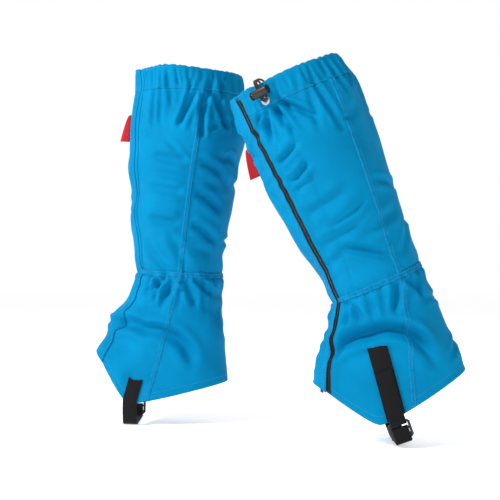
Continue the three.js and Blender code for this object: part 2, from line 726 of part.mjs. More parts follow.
    // instep strap: sewn to the inner side, under the boot, up behind the lower bar,
    // round the middle bar and down in front as the free tail
    const innerHem = hemAt(-1);
    const bottom = -soleDrop + webbing / 2;
    const behind = inPlane(lowerBar + 3, barDepth - wrap);
    const corners = [
      [innerHem.x - ply - webbing, innerHem.y - 6], [-soleHalf, bottom], [0, bottom],
      [soleHalf, bottom], [behind.x, behind.y],
    ];
    const under = roundedPath(corners, soleCorner, 3);
    const anchorRows = rowsBetween(innerAnchorTop, 1.998);
    const strapPath = [
      ...under, inPlane(middleBar + 2, barDepth - wrap), ...arc(middleBar, 180, 0, 6),
      inPlane(middleBar + 7, barDepth + wrap),
      inPlane(middleBar + tailLength, barDepth + wrap + 0.8),
    ];
    const strapSide = (offset, side) => [
      ...anchorRows.map((v) => onCloth(strapWidth, v, -1, offset)),
      ...stripRows(strapPath, strapWidth, side),
    ];
    add('instep_strap', slab(strapSide(thick, 1), strapSide(ply, -1)), materials.webbing);
  }

  // Lace hook: a webbing tab inside the skirt's front, a bent steel hook and its rivet.
  function addLaceHook() {
    const out = surface.normal(hookAngle, hookTabTop + 0.07);
    const low = surface.base(hookAngle, 2);
    const up = surface.base(hookAngle, hookTabTop).sub(low).normalize();
    const along = new THREE.Vector3().crossVectors(out, up).normalize();
    const seat = new THREE.Matrix4().makeBasis(along, out, along.clone().cross(out));
    seat.setPosition(low.clone().addScaledVector(out, -fabric - hookInset));
    const seated = (geometry) => sealed(geometry.applyMatrix4(seat));

    const shaft = (radius) => {
      const pin = new THREE.CylinderGeometry(radius, radius, 20, 16);
      return pin.translate(0, 0, rivetAt);
    };
    const tab = new THREE.BoxGeometry(hookWidth + 3, webbing, hookTabHeight);
    tab.translate(0, -webbing / 2, hookTabHeight / 2);
    add('lace_hook_tab', seated(cut(tab, shaft(rivetRadius + 0.3))), materials.webbing);

    const face = -webbing - 0.35;
    const bend = hookReach;
    const outline = [
      [face, 11], [face - hookWire, 11], [face - hookWire, -6], [face - hookWire - 1.2, -8],
      [face - bend + 0.8, -8], [face - bend, -6.4], [face - bend, -1], [face - bend - hookWire, -1],
      [face - bend - hookWire, -7], [face - bend + 0.2, -9.2], [face - hookWire - 0.4, -9.2],
      [face, -6.8],
    ];
    const profile = new THREE.Shape(outline.map((p) => new THREE.Vector2(...p)));
    const blade = new THREE.ExtrudeGeometry(profile, { depth: hookWidth, bevelEnabled: false });
    const turn = new THREE.Matrix4().makeBasis(
      new THREE.Vector3(0, 1, 0), new THREE.Vector3(0, 0, 1), new THREE.Vector3(1, 0, 0),
    );
    blade.applyMatrix4(turn).translate(-hookWidth / 2, 0, 0);
    add('lace_hook', seated(cut(blade, shaft(rivetRadius + 0.3))), materials.metal);

    const gap = rivetGap;
    const rivet = new THREE.LatheGeometry([
      [0, face - hookWire - gap - 0.9], [rivetHead, face - hookWire - gap - 0.9],
      [rivetHead, face - hookWire - gap], [rivetRadius, face - hookWire - gap],
      [rivetRadius, gap], [rivetHead, gap], [rivetHead, gap + 0.5], [0, gap + 0.5],
    ].map((p) => new THREE.Vector2(...p)), 16);
    rivet.translate(0, 0, rivetAt);
    add('lace_hook_rivet', seated(rivet), materials.metal);
  }
}

// ---- the pair ------------------------------------------------------------------------
const group = new THREE.Group();
for (const gaiter of pair) {
  const made = makeGaiter(gaiter);
  made.position.set(gaiter.ankleX, (gaiter.hand * legSpread) / 2, gaiter.ankleHeight);
  group.add(made);
}

// origin: middle of the pair's footprint, at its lowest point, leaving out the cord and its lock
group.updateMatrixWorld(true);
const onCord = /drawcord_loop|cord_lock/;
const box = new THREE.Box3();
group.traverse((part) => {
  if (part.isMesh && !onCord.test(part.name)) box.expandByObject(part, true);
});
const middle = box.getCenter(new THREE.Vector3());
group.position.set(-middle.x, -middle.y, -box.min.z);

export default group;
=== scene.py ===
import math

import bmesh
import bpy
import numpy as np
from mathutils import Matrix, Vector


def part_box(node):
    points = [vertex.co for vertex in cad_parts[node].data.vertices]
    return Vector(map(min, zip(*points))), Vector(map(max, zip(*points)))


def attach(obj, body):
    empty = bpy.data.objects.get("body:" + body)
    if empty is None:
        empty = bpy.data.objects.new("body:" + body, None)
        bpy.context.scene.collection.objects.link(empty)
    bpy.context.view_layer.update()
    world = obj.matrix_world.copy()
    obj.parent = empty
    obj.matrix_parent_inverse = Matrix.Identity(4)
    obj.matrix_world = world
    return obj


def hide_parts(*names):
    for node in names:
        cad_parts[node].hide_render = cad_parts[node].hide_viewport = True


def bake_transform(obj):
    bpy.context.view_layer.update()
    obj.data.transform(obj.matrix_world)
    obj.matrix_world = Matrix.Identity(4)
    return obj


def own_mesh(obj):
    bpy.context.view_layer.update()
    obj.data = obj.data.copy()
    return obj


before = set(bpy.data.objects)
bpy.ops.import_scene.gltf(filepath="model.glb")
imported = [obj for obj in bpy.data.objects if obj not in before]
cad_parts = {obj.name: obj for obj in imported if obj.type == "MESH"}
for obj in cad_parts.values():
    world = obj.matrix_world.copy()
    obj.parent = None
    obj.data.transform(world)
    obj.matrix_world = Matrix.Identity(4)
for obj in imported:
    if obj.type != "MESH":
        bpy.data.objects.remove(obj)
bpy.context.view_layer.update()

MM = 0.001
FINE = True

# ---- pattern, as in part.mjs ----------------------------------------------------------
TUBE = 285 * MM                  # ankle line to top edge
SKIRT = 150 * MM                 # ankle line to hem, for a length given along v
TUNNEL = 30 * MM                 # top hem tunnel
FABRIC = 1.6 * MM                # CAD thickness of a sheet
TAPE_WIDTH = 25 * MM
HEM_HALF = 53 * MM
HEM_SQUARE = 0.8
HEM_VALLEY = 12 * MM
WAIST_STRETCH = 0.4

CALF = [                         # share of the tube height, front, rear and side reach
    (0.00, 57, 58, 49), (0.18, 61, 62, 54), (0.32, 69, 69, 61), (0.47, 74, 74, 66),
    (0.72, 76, 80, 70), (0.89, 73, 80, 68), (1.00, 72, 76, 66),
]
EVEN = [0, 0.5, 1, 1.5, 2]       # the rows of v that the courses below are given at
LATERAL_SEAM = [125, 121, 117, 106, 96]
MEDIAL_SEAM = [251, 260, 268, 276, 283]
FLAP_FREE = [22, 36, 22, 16, 26]
FLAP_SEWN = [-24, -24, -24, -24, -24]
TAPE_SHOW = 2.3                  # degrees of hook tape beyond the flap's free edge
OPENING = 5                      # degrees between the two front edges


def natural(places, values, t):
    """Values of a smooth curve through given places, as three.js's CubicInterpolant draws it."""
    places = np.asarray(places, float)
    values = np.asarray(values, float)
    t = np.asarray(t, float)
    last = len(places) - 1
    i1 = np.clip(np.searchsorted(places, t, side="right"), 1, last)
    i0 = i1 - 1
    t0, t1 = places[i0], places[i1]
    before = np.where(i0 > 0, i0 - 1, i1)
    after = np.where(i1 < last, i1 + 1, i0)
    half = (t1 - t0) * 0.5
    wp = half / (t0 - places[before])
    wn = half / (places[after] - t1)
    p = (t - t0) / (t1 - t0)
    q = p * p
    r = q * p
    sp = -wp * r + 2 * wp * q - wp * p
    s0 = (1 + wp) * r + (-1.5 - 2 * wp) * q + (-0.5 + wp) * p + 1
    s1 = (-1 - wn) * r + (1.5 + wn) * q + 0.5 * p
    sn = wn * r - wn * q
    return sp * values[before] + s0 * values[i0] + s1 * values[i1] + sn * values[after]


def course(values):
    return lambda v: natural(EVEN, values, np.clip(v, 0, 2))


LATERAL = course(LATERAL_SEAM)
MEDIAL = course(MEDIAL_SEAM)
FREE = course(FLAP_FREE)
SEWN = course(FLAP_SEWN)


def smooth(low, high, x):
    t = np.clip((np.asarray(x, float) - low) / (high - low), 0, 1)
    return t * t * (3 - 2 * t)


def pitched(x, y, z, degrees):
    """A point turned about the ankle's sideways axis: a positive angle lifts the rear."""
    c, s = math.cos(math.radians(degrees)), math.sin(math.radians(degrees))
    return np.stack(np.broadcast_arrays(x * c - z * s, y, x * s + z * c), -1)


def unit(a):
    return a / np.maximum(np.linalg.norm(a, axis=-1, keepdims=True), 1e-12)


class Surface:
    """One gaiter's sheet surface, before and after its folds."""

    def __init__(self, name, hand, lean, pitch, tip, low, heel, strap_x, sweep):
        self.name, self.hand, self.lean, self.pitch = name, hand, lean, pitch
        self.tip, self.low, self.heel = (np.array(p) * MM for p in (tip, low, heel))
        self.strap_x, self.sweep = strap_x * MM, sweep * MM
        self.ankle = np.zeros(3)
        self.relief_map = None
        self.ankle = self.find_ankle()

    def find_ankle(self):
        """The ankle centre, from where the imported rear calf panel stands."""
        share = np.linspace(0, 1, 25)
        v = TUNNEL / TUBE + (1 - TUNNEL / TUBE) * share[:, None] + 0 * share[None, :]
        u = LATERAL(v) + (MEDIAL(v) - LATERAL(v)) * share[None, :]
        outer = self.base(u, v)
        both = np.stack([outer, outer - self.normal(u, v) * FABRIC]).reshape(-1, 3)
        low, high = (np.array(corner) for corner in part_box(f"{self.name}_rear_calf_panel"))
        return (low + high - both.min(0) - both.max(0)) / 2

    def on_leg(self, u, height):
        share = height / TUBE
        places = [row[0] for row in CALF]
        front, rear, side = (natural(places, [row[k] * MM for row in CALF], share) for k in (1, 2, 3))
        a = np.radians(u)
        reach = np.where(np.cos(a) > 0, front, rear)
        return pitched(-reach * np.cos(a), self.hand * side * np.sin(a), height, self.lean)

    def on_hem(self, u):
        a = np.radians(u)
        middle = (self.tip[0] + self.heel[0]) / 2
        half = (self.heel[0] - self.tip[0]) / 2
        x = middle - half * np.cos(a)
        s = np.sin(a)
        y = self.hand * HEM_HALF * np.sign(s) * np.abs(s) ** HEM_SQUARE
        end_x = np.where(x < self.low[0], self.tip[0], self.heel[0])
        end_z = np.where(x < self.low[0], self.tip[1], self.heel[1])

        def bend(d):
            return np.hypot(d, HEM_VALLEY) - HEM_VALLEY

        z = self.low[1] + (end_z - self.low[1]) * bend(x - self.low[0]) / bend(end_x - self.low[0])
        return pitched(x, y, z, self.pitch)

    def base(self, u, v):
        u, v = np.broadcast_arrays(np.asarray(u, float), np.asarray(v, float))
        calf = self.on_leg(u, TUBE * (1 - np.minimum(v, 1)))
        t = np.clip(v - 1, 0, None)[..., None]
        waist = self.on_leg(u, np.zeros_like(u))
        hem = self.on_hem(u)
        run = hem - waist
        length = np.linalg.norm(run, axis=-1, keepdims=True)
        down = pitched(0.0, 0.0, -1.0, self.lean)
        skirt = (waist * (2 * t ** 3 - 3 * t ** 2 + 1)
                 + down * (t ** 3 - 2 * t ** 2 + t) * length * WAIST_STRETCH
                 + hem * (3 * t ** 2 - 2 * t ** 3) + run * (t ** 3 - t ** 2))
        return np.where((v > 1)[..., None], skirt, calf) + self.ankle

    def normal(self, u, v):
        u, v = np.broadcast_arrays(np.asarray(u, float), np.asarray(v, float))
        across = self.base(u + 2, v) - self.base(u - 2, v)
        along = self.base(u, np.minimum(v + 0.02, 2)) - self.base(u, np.maximum(v - 0.02, 0))
        return unit(np.cross(across, along)) * self.hand

    def cloth(self, u, v, offset=0.0):
        """The folded cloth, at an offset from the CAD's outer face."""
        lift = (self.relief(u, v) + offset)[..., None]
        return self.base(u, v) + self.normal(u, v) * lift

    def relief(self, u, v):
        """Height of the folds, read from the map that make_relief fills."""
        u, v = np.broadcast_arrays(np.asarray(u, float), np.asarray(v, float))
        if self.relief_map is None:
            return np.zeros_like(u)
        rows, columns = self.relief_map.shape
        x = (u % 360) / 360 * columns
        y = np.clip(v / 2 * (rows - 1), 0, rows - 1.001)
        i, j = y.astype(int), x.astype(int) % columns
        k = (j + 1) % columns
        fy, fx = y - i, x - np.floor(x)
        m = self.relief_map
        top = m[i, j] * (1 - fx) + m[i, k] * fx
        bottom = m[i + 1, j] * (1 - fx) + m[i + 1, k] * fx
        return top * (1 - fy) + bottom * fy

    def span(self, u, v, width):
        """Degrees that a width takes at a place."""
        return 4 * width / np.linalg.norm(self.base(u + 2, v) - self.base(u - 2, v), axis=-1)

    def angle_at(self, x, v, side):
        """Angle on the outer (1) or inner (-1) side at a fore-aft place on the foot."""
        angles = np.linspace(1, 179, 357)
        p = self.base(side * angles, np.full_like(angles, v)) - self.ankle
        foot_x = pitched(p[:, 0], p[:, 1], p[:, 2], -self.pitch)[:, 0]
        return side * float(np.interp(x, foot_x, angles))

    def strap_angle(self, v, side):
        """Angle of the instep strap's line at a place down the skirt."""
        return self.angle_at(self.strap_x + self.sweep * (2 - v), v, side)


# ---- the two gaiters -----------------------------------------------------------------------
LEFT = Surface("left", -1, 23.7, 20, (-115, -93), (-56, -162), (68, -138), -38, 16)
RIGHT = Surface("right", 1, -2.8, 0, (-115, -109), (-67, -178), (68, -150), -67, 52)
PAIR = [LEFT, RIGHT]

# ---- sizes of the visual model ---------------------------------------------------------
CLOTH = 0.5 * MM                 # coated nylon
MESH = 2.2 * MM if FINE else 4 * MM
SEAM_WIDTH = 7 * MM              # flat-felled seam
THREAD = 0.28 * MM
STITCH = 2.7 * MM
STITCH_PITCH = 3.5 * MM
HEM_TURN = 9 * MM                # stitch line above the hem
THREAD_ON_CLOTH = 0.12 * MM      # the stitches' height over plain cloth, seam, band and flap
THREAD_ON_SEAM = 0.78 * MM
THREAD_ON_BAND = 1.75 * MM
THREAD_ON_FLAP = 0.7 * MM
TOP_ROUND = 430 * MM             # top hem, once around
BAND_HALF = 5 * MM
BAND_RISE = 1.6 * MM
BAND_REACH = 78 * MM             # radius that the band's mesh is counted for, over the ankle's own
SEAM_RISE = 0.65 * MM
ELASTIC_HALF = 7 * MM
EYELET_U = 58
EYELET_DROP = 22 * MM
TUNNEL_DEEP = 7.6 * MM           # tunnel, outside to inside
CORD = 2.5 * MM
FLAT_ANGLE = 3                   # degrees: facets that lie flatter are joined,
BEVEL_ANGLE = 38                 # edges sharper than this are rounded
CREASE_ANGLE = 32                # and what is sharper after that shades as an edge
LABEL_U = -4
LABEL_TOP = 0.22
LABEL_TALL = 38 * MM
LABEL_WIDE = 13.5 * MM
LABEL_NARROW = 4 * MM
HOOK_LIFT = 1.5 * MM             # hook tape's outer face above the panels, then the loop tape's
LOOP_LIFT = 2.9 * MM
HOOK_THICK = 1.2 * MM
LOOP_THICK = 1.0 * MM
FLAP_THICK = 0.6 * MM
HOOK_LEDGE = 0.9                 # degrees of tape past TAPE_SHOW, so that the line stays in sight
TAPE_TOP = 0.02                  # v of the tapes' ends
TAPE_BOTTOM = 1.985
FLAP_ABOVE = 3.6 * MM            # flap's inner face above the panels
FACING_ABOVE = 0.9 * MM          # the same at the edge where the flap is sewn down
FACING_HALF = 6                  # degrees that the facing reaches to each side of that edge
BELOW_ANKLE = 1.3                # v where the flap stays closed when its upper half opens
ABOVE_ANKLE = 0.97               # v from which the whole flap moves

# one strand of the cord from the eyelet to the loop's middle: (along hem, outwards, up), metres
STRAND = [
    (-0.0014, -0.0023, 0.0), (-0.0014, 0.0032, 0.0001), (-0.0014, 0.0070, 0.0015),
    (-0.0014, 0.0085, 0.0050), (-0.0014, 0.0085, 0.0110), (-0.0014, 0.0085, 0.0170),
    (-0.0014, 0.0085, 0.0215), (-0.0016, 0.0070, 0.0249), (-0.0018, 0.0032, 0.0266),
    (-0.0020, -0.0025, 0.0266), (-0.0024, -0.0076, 0.0252), (-0.0030, -0.0106, 0.0212),
    (-0.0040, -0.0112, 0.0150), (-0.0052, -0.0112, 0.0080), (-0.0060, -0.0112, 0.0010),
    (-0.0050, -0.0112, -0.0050), (-0.0022, -0.0112, -0.0082),
]
LOOP_DIP = 0.9 * MM              # how far the loop's end hangs below its last points

# ---- light and camera ------------------------------------------------------------------
CAMERA_AT = (-0.0261, -1.632, 0.2429)
CAMERA_LENS = 87.4
WORLD = 0.24
FLOOR_GLOW = 0.56
FLOOR_SIZE = 14
WALL_SIZE = 30
WALL_AWAY = 9.9
LIGHTS = [                       # name, place, aimed at, size, watts
    ("key", (-1.5, -0.9, 1.6), (0, 0, 0.25), 0.3, 46),
    ("fill", (1.4, -1.4, 0.8), (0, 0, 0.25), 0.9, 8),
    ("rear", (0.3, 1.6, 1.5), (0, 0, 0.3), 1.2, 10),
]

# ---- folds ---------------------------------------------------------------------------------
COLUMNS = 600
ROWS = 501
REACH = 3.2                      # how many widths away from its line a fold still counts
BLOCK_V = 120 * MM               # lengths assumed for one whole v and one degree of u where the
BLOCK_U = 0.9 * MM               # block that a fold can touch is bounded; parts of the skirt are
                                 # shorter (43 and 0.86 mm), so there a fold can end sooner
ARCH_FOOT = 1.85                 # v at both ends of the fold over the strap
SEED = 11


class Relief:
    """Heights of one gaiter's folds over an even lattice of u and v."""

    def __init__(self, g, seed):
        self.g = g
        self.random = np.random.default_rng(seed)
        self.u, self.v = np.meshgrid(np.arange(COLUMNS) * 360 / COLUMNS, np.linspace(0, 2, ROWS))
        self.place = g.base(self.u, self.v)
        self.height = np.zeros_like(self.u)

    def crease(self, points, width, depth, ridge=0.55, fade=0.35):
        """A valley through (u, v) points with a soft ridge along each side."""
        u, v = np.array(points, float).T
        places = np.arange(len(u))
        t = np.linspace(0, len(u) - 1, 12 * len(u))
        spread = natural(places, u, t) if len(u) > 2 else np.interp(t, places, u)
        drop = np.clip(natural(places, v, t) if len(v) > 2 else np.interp(t, places, v), 0, 2)
        line = self.g.base(spread, drop)
        margin = REACH * width / BLOCK_V
        rows = np.nonzero((self.v[:, 0] > drop.min() - margin) & (self.v[:, 0] < drop.max() + margin))[0]
        middle = (spread.min() + spread.max()) / 2
        half = (spread.max() - spread.min()) / 2 + REACH * width / BLOCK_U
        turn = (self.u[0] - middle + 180) % 360 - 180
        columns = np.nonzero(np.abs(turn) < half)[0]
        block = np.ix_(rows, columns)
        gap = np.linalg.norm(self.place[block][:, :, None] - line, axis=-1)
        nearest = gap.argmin(-1)
        d = np.take_along_axis(gap, nearest[..., None], -1)[..., 0]
        share = nearest / (len(line) - 1)
        strength = smooth(0, fade, share) * smooth(0, fade, 1 - share)
        valley = -np.exp(-(d / width) ** 2)
        sides = ridge * np.exp(-((d - 1.7 * width) / (0.9 * width)) ** 2)
        self.height[block] += depth * strength * (valley + sides)

    def swell(self, size, amount, count):
        """Soft bumps of about one size, as the sum of seeded waves."""
        for _ in range(count):
            direction = unit(self.random.normal(size=3))
            pitch = size * self.random.uniform(0.7, 1.4)
            phase = self.random.uniform(0, 2 * math.pi)
            wave = np.sin(2 * math.pi * (self.place @ direction) / pitch + phase)
            self.height += amount / math.sqrt(count) * wave

    def gathers(self, v, step, up, down, width, depth, slant=0.0):
        """A row of small pleats across a course at v, irregular in place, reach and depth."""
        u = self.random.uniform(0, step)
        while u < 360:
            reach_up = up * self.random.uniform(0.4, 1.2)
            reach_down = down * self.random.uniform(0.35, 1.25)
            lean = slant * self.random.uniform(-1, 1)
            top, bottom = max(v - reach_up, 0), min(v + reach_down, 2)
            size = self.random.uniform(0.7, 1.3)
            self.crease([(u - lean, top), (u + lean, bottom)], width * size,
                        depth * self.random.uniform(0.45, 1.2), fade=0.3)
            u += step * self.random.uniform(0.6, 1.5)

    def scatter(self, count, v0, v1, length, width, depth):
        """Long soft folds at slanting angles."""
        for _ in range(count):
            u, v = self.random.uniform(0, 360), self.random.uniform(v0, v1)
            turn = self.random.uniform(-1, 1)
            half_v = length / TUBE / 2 * turn
            half_u = self.g.span(u, v, length / 2) * math.sqrt(1 - turn * turn)
            bow = self.random.uniform(-0.02, 0.02)
            points = [(u - half_u, np.clip(v - half_v, 0, 2)), (u, np.clip(v + bow, 0, 2)),
                      (u + half_u, np.clip(v + half_v, 0, 2))]
            self.crease(points, width * self.random.uniform(0.7, 1.3), depth * self.random.uniform(0.4, 1))

    def pucker(self, edge):
        """Small puckers across a seam, where its stitches draw the cloth in."""
        for v in np.arange(0.14, 1.9, 0.045):
            here = v + self.random.uniform(-0.012, 0.012)
            u = float(edge(here))
            reach = self.random.uniform(3, 8)
            tilt = self.random.uniform(-0.012, 0.012)
            self.crease([(u - reach, here - tilt), (u + reach, here + tilt)], 2.6 * MM,
                        self.random.uniform(0.3, 1.0) * MM, fade=0.45)

    def calm(self, u, v, radius):
        """Flattens the cloth round a place where hardware is fixed."""
        spot = self.g.base(u, v)
        d = np.linalg.norm(self.place - spot, axis=-1)
        self.height *= smooth(0.45 * radius, radius, d)


def fan(r, u, v, turns, reach, width, depth):
    """Folds that spread below a place where the cloth is held."""
    for turn in turns:
        drop = reach * (1 - abs(turn) / 120)
        r.crease([(u + 0.3 * turn, v), (u + 0.6 * turn, v + 0.4 * drop), (u + turn, v + drop)],
                 width, depth, fade=0.22)


def drag(r, edge, v, away, reach, width, depth):
    """A fold that leaves an edge, rises by reach (or falls, if negative) and dies out."""
    u = float(edge(v))
    r.crease([(u + 0.1 * away, v), (u + 0.5 * away, v - 0.3 * reach), (u + away, v - reach)],
             width, depth, fade=0.25)


def arch(r, side, v_top, half_angle, width, depth):
    """The fold that bridges the place where the instep strap pulls the hem down."""
    middle = r.g.strap_angle(v_top, side)
    turns = np.linspace(0, math.pi, 9)
    rise = ARCH_FOOT - v_top
    points = [(middle + half_angle * math.cos(a), ARCH_FOOT - rise * math.sin(a)) for a in turns]
    r.crease(points, width, depth, fade=0.2)


def drawn_folds(r):
    """The folds made by what pulls on the cloth: cord, flap, calf, ankle band and strap."""
    below_tunnel = TUNNEL / TUBE
    fan(r, EYELET_U, below_tunnel, (-35, -15, 15, 40), 0.2, 4 * MM, 6 * MM)
    fan(r, float(MEDIAL(0.1)), below_tunnel, (-30, 0, 25), 0.25, 4.5 * MM, 6 * MM)
    for v in (0.35, 0.45):
        drag(r, FREE, v, 40, 0.06, 4.5 * MM, 5 * MM)
    for v in (0.6, 0.75):
        drag(r, FREE, v, 70, 0.04, 7 * MM, 3 * MM)
    for v in (0.45, 0.6, 0.75):
        drag(r, MEDIAL, v, 50, 0.03, 6 * MM, 4 * MM)
        drag(r, MEDIAL, v, -50, -0.1, 6 * MM, 4 * MM)
    for edge, turns in ((FREE, (20, 40)), (LATERAL, (-20, 25)), (MEDIAL, (-55, -25, 20, 50))):
        fan(r, float(edge(1.05)), 1.05, turns, 0.4, 5 * MM, 5 * MM)
    arch(r, 1, 1.4, 55, 8 * MM, 13 * MM)
    arch(r, -1, 1.5, 55, 8 * MM, 9 * MM)


def make_relief(g, seed):
    r = Relief(g, seed)
    r.swell(size=130 * MM, amount=2.2 * MM, count=4)
    r.swell(size=60 * MM, amount=1.3 * MM, count=6)
    r.swell(size=26 * MM, amount=0.12 * MM, count=8)
    r.scatter(26, v0=0.18, v1=0.95, length=75 * MM, width=5.5 * MM, depth=3.2 * MM)
    r.scatter(12, v0=1.15, v1=1.8, length=60 * MM, width=5.5 * MM, depth=2.6 * MM)
    drawn_folds(r)
    r.gathers(0.03, step=10, up=0.05, down=0.09, width=2.6 * MM, depth=2.0 * MM, slant=2)
    r.gathers(0.10, step=15, up=0.08, down=0.20, width=3.6 * MM, depth=3.8 * MM, slant=6)
    r.gathers(1.00, step=8, up=0.05, down=0.08, width=2.0 * MM, depth=0.9 * MM, slant=1.5)
    r.gathers(1.04, step=24, up=0.09, down=0.36, width=4.2 * MM, depth=2.6 * MM, slant=7)
    for edge in (LATERAL, MEDIAL):
        r.pucker(edge)
    draw_in_at_band(r)
    stiffen(r)
    return r.height


def draw_in_at_band(r):
    """The cloth bulges above and below the ankle band, which sits in a groove."""
    from_band = (r.v - 1) * np.where(r.v < 1, TUBE, SKIRT)
    r.height += 1.6 * MM * np.exp(-((np.abs(from_band) - 15 * MM) / (9 * MM)) ** 2)
    r.height -= 0.8 * MM * np.exp(-(from_band / (6 * MM)) ** 2)


def stiffen(r):
    """Shallower folds at the hem and the hook tape, and none under straps, eyelet and label."""
    r.height *= 1 - 0.75 * smooth(1.86, 1.97, r.v)
    from_tape = np.abs((r.u - FREE(r.v) + 180) % 360 - 180)
    r.height *= 1 - 0.65 * (1 - smooth(4, 16, from_tape))
    for side, places in ((1, np.linspace(1.60, 2.0, 6)), (-1, (1.86, 1.95, 2.0))):
        for v in places:
            r.calm(r.g.strap_angle(v, side), v, 24 * MM)
    r.calm(EYELET_U, EYELET_DROP / TUBE, 17 * MM)
    r.calm(EYELET_U, 0.01, 15 * MM)
    for v in np.linspace(LABEL_TOP - 0.02, LABEL_TOP + LABEL_TALL / TUBE + 0.02, 5):
        r.calm(LABEL_U, v, 18 * MM)


# ---- mesh helpers ----------------------------------------------------------------------------
def mesh_object(name, points, faces, uv=None):
    mesh = bpy.data.meshes.new(name)
    mesh.from_pydata(np.asarray(points, float).tolist(), [], faces)
    if uv is not None:
        layer = mesh.uv_layers.new(name="cloth")
        corner = np.empty(len(mesh.loops), dtype=np.int32)
        mesh.loops.foreach_get("vertex_index", corner)
        layer.data.foreach_set("uv", np.asarray(uv, float)[corner].ravel())
    mesh.polygons.foreach_set("use_smooth", [True] * len(mesh.polygons))
    obj = bpy.data.objects.new(name, mesh)
    bpy.context.scene.collection.objects.link(obj)
    return obj


def slab(name, outer, inner):
    """A closed sheet between two grids of points, with its flat coordinates as UV in metres."""
    rows, columns = outer.shape[:2]
    count = rows * columns
    grid = np.arange(count).reshape(rows, columns)
    a, b, c, d = grid[:-1, :-1], grid[1:, :-1], grid[1:, 1:], grid[:-1, 1:]
    front = np.stack([a, b, c, d], -1).reshape(-1, 4)
    faces = [front, front[:, ::-1] + count]
    rims = [grid[0], grid[:, -1], grid[-1][::-1], grid[:, 0][::-1]]
    for rim in rims:
        faces.append(np.stack([rim[:-1], rim[1:], rim[1:] + count, rim[:-1] + count], -1))
    across = np.zeros((rows, columns))
    across[:, 1:] = np.linalg.norm(np.diff(outer, axis=1), axis=-1).cumsum(1)
    across -= across[:, columns // 2][:, None]
    down = np.zeros((rows, columns))
    down[1:] = np.linalg.norm(np.diff(outer, axis=0), axis=-1).cumsum(0)
    uv = np.stack([across, down], -1).reshape(-1, 2)
    points = np.concatenate([outer.reshape(-1, 3), inner.reshape(-1, 3)])
    obj = mesh_object(name, points, np.concatenate(faces).tolist(), np.concatenate([uv, uv]))
    tidy_normals(obj)
    return obj


def tidy_normals(obj):
    work = bmesh.new()
    work.from_mesh(obj.data)
    bmesh.ops.recalc_face_normals(work, faces=work.faces)
    work.to_mesh(obj.data)
    work.free()


def tube(name, paths, radius, sides=6):
    """Round threads along several paths of points, closed at both ends, as one mesh."""
    points, faces = [], []
    for path in paths:
        path = np.asarray(path, float)
        run = unit(np.gradient(path, axis=0))
        other = np.array([0.0, 0.0, 1.0]) if abs(run[0, 2]) < 0.9 else np.array([1.0, 0.0, 0.0])
        side = unit(np.cross(run, other))
        top = np.cross(side, run)
        start = len(points)
        for i in range(len(path)):
            for k in range(sides):
                angle = 2 * math.pi * k / sides
                points.append(path[i] + radius * (math.cos(angle) * side[i] + math.sin(angle) * top[i]))
        for i in range(len(path) - 1):
            for k in range(sides):
                a, b = start + i * sides + k, start + i * sides + (k + 1) % sides
                faces.append([a, b, b + sides, a + sides])
        faces.append([start + k for k in range(sides)][::-1])
        faces.append([start + (len(path) - 1) * sides + k for k in range(sides)])
    return mesh_object(name, points, faces)


def lattice(g, u_from, u_to, v0, v1, size=None):
    """Rows and columns of u and v that keep the mesh near one size."""
    size = size or MESH
    ends = np.linspace(v0, v1, 9)
    middle = (u_from(ends) + u_to(ends)) / 2
    length = np.linalg.norm(np.diff(g.base(middle, ends), axis=0), axis=-1).sum()
    wide = float(((u_to(ends) - u_from(ends)) / g.span(u_from(ends), ends, 1.0)).max())
    rows = max(3, int(length / size) + 1)
    columns = max(3, int(wide / size) + 1)
    v = np.linspace(v0, v1, rows)[:, None] + np.zeros(columns)[None, :]
    share = np.linspace(0, 1, columns)[None, :]
    return u_from(v) * (1 - share) + u_to(v) * share, v


def shifted(edge, degrees):
    return lambda v: edge(v) + degrees


def place(obj, material, body, slot, *nodes):
    obj.data.materials.clear()
    obj.data.materials.append(material)
    if nodes:
        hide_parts(*nodes)
    if body:
        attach(obj, body)
    return obj


# ---- materials -----------------------------------------------------------------------------
def material(name, colour, roughness, metallic=0.0, sheen=0.0, specular=0.5):
    """A plain principled material, with its node tree and shader for further nodes."""
    made = bpy.data.materials.new(name)
    made.use_nodes = True
    shader = made.node_tree.nodes["Principled BSDF"]
    shader.inputs["Base Color"].default_value = (*colour, 1)
    shader.inputs["Roughness"].default_value = roughness
    shader.inputs["Metallic"].default_value = metallic
    shader.inputs["Sheen Weight"].default_value = sheen
    shader.inputs["Specular IOR Level"].default_value = specular
    return made, made.node_tree, shader


def noise(tree, scale, detail):
    where = tree.nodes.new("ShaderNodeTexCoord")
    texture = tree.nodes.new("ShaderNodeTexNoise")
    texture.inputs["Scale"].default_value = scale
    texture.inputs["Detail"].default_value = detail
    tree.links.new(where.outputs["Object"], texture.inputs["Vector"])
    return texture.outputs["Fac"]


